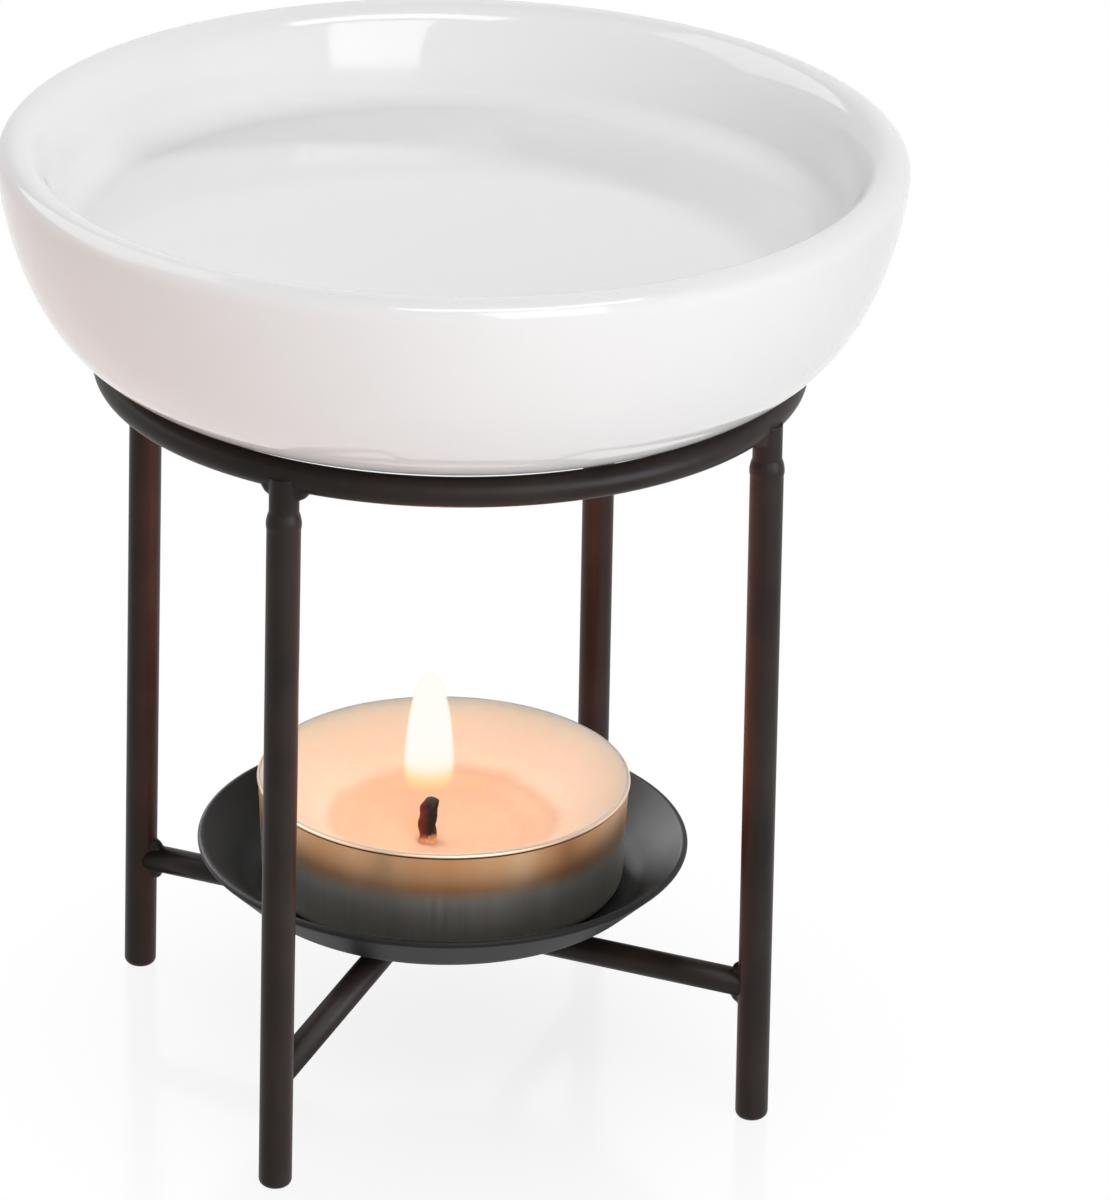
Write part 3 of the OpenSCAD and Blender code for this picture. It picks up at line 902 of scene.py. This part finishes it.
# Painted glow: a dull red down the left side of the char stands in for the hot wick's glow.
glow_side = fade(tree, apart["X"], *(wick_middle_x + side for side in GLOW_SIDE), "LINEAR")
burnt_glow_side = add_node(tree, "Math", {0: glow_side, 1: burnt}, operation="MULTIPLY")
braid_tone = add_node(tree, "MixRGB", {
    "Fac": burnt_glow_side, "Color1": char_tone, "Color2": linear("#6B2415")
})
flaky = add_node(tree, "Bump", {"Height": fibre, "Strength": 0.6, "Distance": 0.1 * MM})
close_material(tree, {"Base Color": braid_tone, "Roughness": 0.85, "Normal": flaky})
print("wick finish:", char.name)

# %% [markdown]
# The braid is grown upwards ring by ring: each step lifts the last ring of edges, winds it a little,
# swells or narrows it, and moves it sideways along the wick's lean. The last ring is pinched and closed.

# %% Grow the wick
WICK_WIDE = 1.85
WICK_SIDES = 24
WICK_STEPS = 26
LOBES = 3
LOBE_DEEP = 0.1
WIND = 17
SWELL = 0.06
SWELL_PACE = 0.7
TIP_FROM = 0.93
TIP_PINCH = 0.1
TIP_BELOW = 0.3
FOOT_RIGHT = 0.05
LEAN_LEFT = 0.1
TIP_RIGHT = 0.35
BEND_AT = 0.72
BEND_EASE = 1.4

wick_x = wick_middle_x - (TIP_RIGHT - LEAN_LEFT) / 2 + FOOT_RIGHT
wick_y = (wick_low.y + wick_high.y) / 2
wick_long = wick_high.z - wick_low.z - TIP_BELOW


def wick_side(share):
    """How far the wick has moved to the right at a share of its height."""
    if share < BEND_AT:
        return -LEAN_LEFT * (share / BEND_AT) ** 2
    up = (share - BEND_AT) / (1 - BEND_AT)
    return -LEAN_LEFT + (TIP_RIGHT + LEAN_LEFT) * up ** BEND_EASE


bm = bmesh.new()
bmesh.ops.create_circle(bm, radius=WICK_WIDE / 2 * MM, segments=WICK_SIDES)
for v in bm.verts:
    v.co.xy *= 1 + LOBE_DEEP * math.cos(LOBES * math.atan2(v.co.y, v.co.x))
bmesh.ops.translate(bm, verts=bm.verts, vec=Vector((wick_x, wick_y, wick_low.z)) * MM)
end = list(bm.edges)
for k in range(1, WICK_STEPS + 1):
    share = k / WICK_STEPS
    sideways = wick_side(share) - wick_side((k - 1) / WICK_STEPS)
    end = run_wire(bm, end, (sideways, 0, wick_long / WICK_STEPS))
    verts = list({v for e in end for v in e.verts})
    middle = sum((v.co for v in verts), Vector()) / len(verts)
    wind = Matrix.Rotation(math.radians(WIND), 4, "Z")
    puff = SWELL * noise.noise(Vector((0, 0, k * SWELL_PACE)))
    swell = Matrix.Scale(1 + puff - TIP_PINCH * (share > TIP_FROM), 4)
    about = Matrix.Translation(middle)
    bmesh.ops.transform(bm, matrix=about @ wind @ swell @ about.inverted(), verts=verts)
bmesh.ops.holes_fill(bm, edges=bm.edges)
bmesh.ops.recalc_face_normals(bm, faces=bm.faces)
make_piece("braided_wick", bm, char, "tealight", "charred_cotton", "candle_wick")

# %% [markdown]
# ## The sustainer
# Inside the wax a small pressed steel plate with a tube holds the wick upright. Its solid has the right
# shape already, so it stays, and only gets its finish: tinned sheet, dull grey with a fine grain.

# %% Tinned sustainer
TIN_GRAIN = 0.8

tin, tree, place = start_material("tinned_steel_pressed")
grain = pattern(tree, place, TIN_GRAIN, detail=4.0)
tin_tone = add_node(tree, "ValToRGB", {"Fac": grain}, [(0, "#A3A4A6"), (1, "#C9CACC")])
tin_rough = add_node(tree, "MapRange", {"Value": grain, "To Min": 0.28, "To Max": 0.45})
close_material(tree, {"Base Color": tin_tone, "Metallic": 1.0, "Roughness": tin_rough})
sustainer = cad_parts["wick_sustainer"]
sustainer.data.materials.clear()
sustainer.data.materials.append(tin)
print("sustainer keeps its solid, with", tin.name)

# %% [markdown]
# ## The flame
# A candle's flame is glowing soot: nearly white in its body, yellower and clearer towards the wick, and
# see-through at its edge. A volume would be truest, but a volume has no surface to keep with the model.
# Here a few thin shells lie one inside another, each partly clear, so that they add up to a soft edge
# and a bright middle. Colour and clearness change with height alone.

# %% Flame glow
FLAME_TOP = 42.6
FLAME_FADE = (29.4, 33.4)

flame_looks = {}
for layer, body_colour, clear_most in (("mantle", "#FFFAE2", 0.3), ("core", "#FFFFFF", 0.62)):
    glow_material, tree, place = start_material("candle_flame_" + layer)
    height = add_node(tree, "SeparateXYZ", {"Vector": place}).outputs["Z"]
    lit_part = fade(tree, height, *FLAME_FADE)
    glow = add_node(tree, "ValToRGB", {"Fac": lit_part}, [(0.35, "#FFEFA0"), (1, body_colour)])
    clear = add_node(tree, "MapRange", {"Value": lit_part, "To Min": 0.0, "To Max": clear_most})
    close_material(tree, {
        "Base Color": linear("#000000"),
        "Roughness": 1.0,
        "Specular IOR Level": 0.0,
        "Emission Color": glow,
        "Emission Strength": 1.0,
        "Alpha": clear,
    })
    flame_looks[layer] = glow_material
print("flame:", sorted(flame_looks))

# %% [markdown]
# The flame stands on the wick like a bullet: straight sides low down, where the soot begins to glow, and
# a round point. Each shell is turned from the same outline, a little thinner than the one outside it.
# It throws no shadow, so the lamp inside it can shine out.

# %% Shape the flame
FLAME_WIDE = 5.35
FLAME_FOOT = 27.2
FLAME_HIP = 30.6
HIP_EASE = 1.6
SIDE_RUN = 6.6
FOOT_BLUNT = 0.9
TIP_BLUNT = 0.62
SHELL_LOWER = 4
SHELLS = (("mantle", 1.0), ("core", 0.94), ("core", 0.86))

for number, (layer, share) in enumerate(SHELLS):
    wide = FLAME_WIDE / 2 * share
    top = FLAME_TOP - (1 - share) * SHELL_LOWER
    hip = (wide, FLAME_HIP)
    foot_out = (wide * FOOT_BLUNT, FLAME_FOOT)
    outline = bezier([(0, FLAME_FOOT), foot_out, (wide, FLAME_HIP - HIP_EASE), hip], 14)
    outline += bezier([hip, (wide, FLAME_HIP + SIDE_RUN), (wide * TIP_BLUNT, top), (0, top)], 26)[1:]
    bm = lathe(outline, 64)
    bmesh.ops.translate(bm, verts=bm.verts, vec=Vector((wick_x, wick_y, 0)) * MM)
    shell = make_piece(f"flame_{layer}_{number}", bm, flame_looks[layer], "tealight", None)
    shell.visible_shadow = False

# %% [markdown]
# ## Light
# The room's light comes from three soft boxes in front, above and behind on the left. Their reflections
# are the bright panes on the dish. A card on the right fills the shadows, and a small lamp behind on the
# right throws the lip's shadow into the well. Each is placed by its bearing and height as seen from the
# dish, which is how a photographer would walk it round the table.

# %% Lamp helpers
ROOM_MIDDLE = Vector((0, 0, 0.09))


def light_only(lamp, pieces):
    """Keeps a lamp's light to these pieces."""
    lit = bpy.data.collections.new("lit_by_" + lamp.name)
    for piece in pieces:
        lit.objects.link(bpy.data.objects[piece])
    lamp.light_linking.receiver_collection = lit


def make_lamp(name, kind, power, colour):
    """A lamp of a power in watts."""
    data = bpy.data.lights.new(name, kind)
    data.energy = power
    data.color = linear(colour)[:3]
    lamp = bpy.data.objects.new(name, data)
    bpy.context.scene.collection.objects.link(lamp)
    return lamp


def candle_light(name, power, colour, at, radius):
    """A small round lamp that rides with the tealight."""
    lamp = make_lamp(name, "POINT", power, colour)
    lamp.data.shadow_soft_size = radius * MM
    lamp.location = Vector(at) * MM
    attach(lamp, "tealight")
    return lamp


def soft_box(name, bearing, rise, distance, size, power, colour):
    """A rectangular lamp at a bearing from the front, towards the right, turned to the dish."""
    lamp = make_lamp(name, "AREA", power, colour)
    lamp.data.shape = "RECTANGLE"
    lamp.data.size, lamp.data.size_y = size
    a, e = math.radians(bearing), math.radians(rise)
    away = Vector((math.sin(a) * math.cos(e), -math.cos(a) * math.cos(e), math.sin(e)))
    lamp.location = ROOM_MIDDLE + away * distance
    lamp.rotation_euler = away.to_track_quat("Z", "Y").to_euler()
    return lamp


print("lamps are aimed at a point", round(ROOM_MIDDLE.z / MM), "mm above the table")

# %% [markdown]
# A white table also throws light up, but this one is mostly a glow for the camera, so two low strips
# give the dish that bounce, and two kickers give the black pieces their sheen. Light linking keeps such
# a helper from lighting anything else. The flame lights the wax and the inner sides of the wires: a
# small warm lamp inside it and a broader one round it, both riding with the tealight.

# %% Place the lamps
# Power in watts, colour, and place and radius in millimetres.
CANDLE_LIGHTS = {
    "candle_light": (0.0056, "#FFCAA4", (wick_x, wick_y, 38), 2.0),
    "candle_on_wire": (0.165, "#FF884E", (-3, -15, 44), 20.0),
}
# Bearing and rise in degrees, distance and size in metres, power in watts, and colour.
SOFT_BOXES = {
    "front_window": (5.5, 24.5, 0.9, (0.43, 0.62), 2.7, "#FFFFFF"),
    "ceiling_box": (4, 56, 0.9, (0.8, 0.22), 2.5, "#FFFFFF"),
    "left_window": (-134, 40, 0.9, (0.85, 0.68), 2.9, "#FFFFFF"),
    "right_card": (45, 12, 1.0, (1.1, 0.4), 1.35, "#FFFFFF"),
    "back_lamp": (131, 24, 1.2, (0.1, 0.1), 4.2, "#FFFFFF"),
    "front_bounce": (15, -30, 0.17, (0.16, 0.03), 0.03, "#FFFFFF"),
    "left_bounce": (-80, -24, 0.17, (0.12, 0.03), 0.026, "#FF8A18"),
    "tray_kicker": (-168, 14, 0.9, (0.5, 0.3), 6.5, "#FFFFFF"),
    "wire_kicker": (40, 12, 0.9, (0.5, 0.6), 6.5, "#E6ECFF"),
}

lamps = {name: soft_box(name, *setting) for name, setting in SOFT_BOXES.items()}
lamps |= {name: candle_light(name, *setting) for name, setting in CANDLE_LIGHTS.items()}
lamps["candle_on_wire"].data.use_shadow = False
for name in ("right_card", "back_lamp", "front_bounce", "left_bounce", "candle_on_wire"):
    lamps[name].visible_glossy = False
for name in ("front_bounce", "left_bounce"):
    lamps[name].visible_camera = False
for name in ("back_lamp", "front_bounce", "left_bounce"):
    light_only(lamps[name], ["glazed_dish"])
wires = ["ring_wire", "ring_leg_fillets"] + ["leg_wire_" + corner for corner in CORNERS]
bars = ["straight_bar_wire", "arched_bar_wire", "bar_end_fillets"]
light_only(lamps["tray_kicker"], ["pressed_tray"])
light_only(lamps["candle_on_wire"], wires)
light_only(lamps["wire_kicker"], bars + wires)

# %% [markdown]
# ## Table and room
# The burner stands on a white table that fades into a white room. The table has to stay white in the
# picture and still take the burner's soft shadow. So where a camera, a mirror or a glass looks at it, it
# is partly a plain white glow and partly a real, lit surface; what it throws back on the burner is only
# the lit surface. A thin polish over both gives the faint reflection of the feet.

# %% White table
GLOW_NEAR = 0.8
SHADOW_REACH = 58.0
POLISH = 0.04
POLISH_ROUGH = 0.14


def looked_at(tree):
    """A socket that is 1 where a camera, a mirror or a glass looks, and 0 for any other light."""
    seen = add_node(tree, "LightPath").outputs
    looks = seen["Is Camera Ray"]
    for ray in ("Is Glossy Ray", "Is Transmission Ray"):
        looks = add_node(tree, "Math", {0: looks, 1: seen[ray]}, operation="MAXIMUM")
    return looks


table_white, tree, place = start_material("white_table")
from_burner = add_node(tree, "VectorMath", {0: place}, operation="LENGTH")
glow_here = add_node(tree, "MapRange", {
    "Value": from_burner.outputs["Value"],
    "From Max": SHADOW_REACH * MM,
    "To Min": GLOW_NEAR,
    "To Max": 1.0,
}, interpolation_type="SMOOTHSTEP")
glow_part = add_node(tree, "Math", {0: looked_at(tree), 1: glow_here}, operation="MULTIPLY")
lit = add_node(tree, "BsdfPrincipled", {
    "Base Color": linear("#F2F2F2"), "Roughness": 0.22, "Specular IOR Level": 0.4
})
white = add_node(tree, "Emission", {"Color": linear("#FFFFFF")})
both = add_node(tree, "MixShader", {0: glow_part, 1: lit, 2: white})
mirror = add_node(tree, "BsdfAnisotropic", {"Color": linear("#FFFFFF"), "Roughness": POLISH_ROUGH})
polished = add_node(tree, "MixShader", {0: POLISH, 1: both, 2: mirror})
add_node(tree, "OutputMaterial", {"Surface": polished})
print("the table takes shadows up to", SHADOW_REACH, "mm from the burner's axis")

# %% [markdown]
# The table is a plain square; it is no part of the burner. The room is white
# where it is looked at or mirrored, as the table is. For all other light it is only a weak fill, so that
# the lamps make the shadows.

# %% Lay the table and paint the room
TABLE_HALF = 4.0
ROOM_FILL = 0.18

bm = bmesh.new()
bmesh.ops.create_grid(bm, x_segments=1, y_segments=1, size=TABLE_HALF)
table_mesh = bpy.data.meshes.new("table")
bm.to_mesh(table_mesh)
bm.free()
table_mesh.materials.append(table_white)
table = bpy.data.objects.new("table", table_mesh)
bpy.context.scene.collection.objects.link(table)

room = bpy.data.worlds.new("white_room")
bpy.context.scene.world = room
room.use_nodes = True
tree = room.node_tree
tree.nodes.clear()
strength = add_node(tree, "MapRange", {"Value": looked_at(tree), "To Min": ROOM_FILL, "To Max": 1.0})
sky = add_node(tree, "Background", {"Color": linear("#FFFFFF"), "Strength": strength})
add_node(tree, "OutputWorld", {"Surface": sky})
print("the table is", 2 * TABLE_HALF, "m wide, and the room fills by", ROOM_FILL)

# %% [markdown]
# ## Camera
# The camera looks down from the front left through a long lens, as for a product picture. Its place,
# its turns and its lens were found by laying the measured model over the picture's outlines.

# %% Set the camera
CAMERA_AT = Vector((-191.92, -582.55, 321.89))
CAMERA_TURN = 19.277
CAMERA_DOWN = 23.823
CAMERA_ROLL = 1.392
CAMERA_LENS = 195.0
CAMERA_FILM = 36.0

camera_data = bpy.data.cameras.new("camera")
camera_data.sensor_fit = "VERTICAL"
camera_data.sensor_height = CAMERA_FILM
camera_data.lens = CAMERA_LENS
camera_data.clip_start = 0.05
camera_data.clip_end = 50.0
camera = bpy.data.objects.new("camera", camera_data)
bpy.context.scene.collection.objects.link(camera)
level = Matrix.Rotation(math.radians(90 - CAMERA_DOWN), 4, "X")
turn = Matrix.Rotation(math.radians(-CAMERA_TURN), 4, "Z")
roll = Matrix.Rotation(math.radians(CAMERA_ROLL), 4, "Z")
camera.matrix_world = Matrix.Translation(CAMERA_AT * MM) @ turn @ level @ roll
bpy.context.scene.camera = camera
bpy.context.scene.view_settings.view_transform = "Standard"
print("camera", round((camera.location - ROOM_MIDDLE).length, 3), "m from the dish")
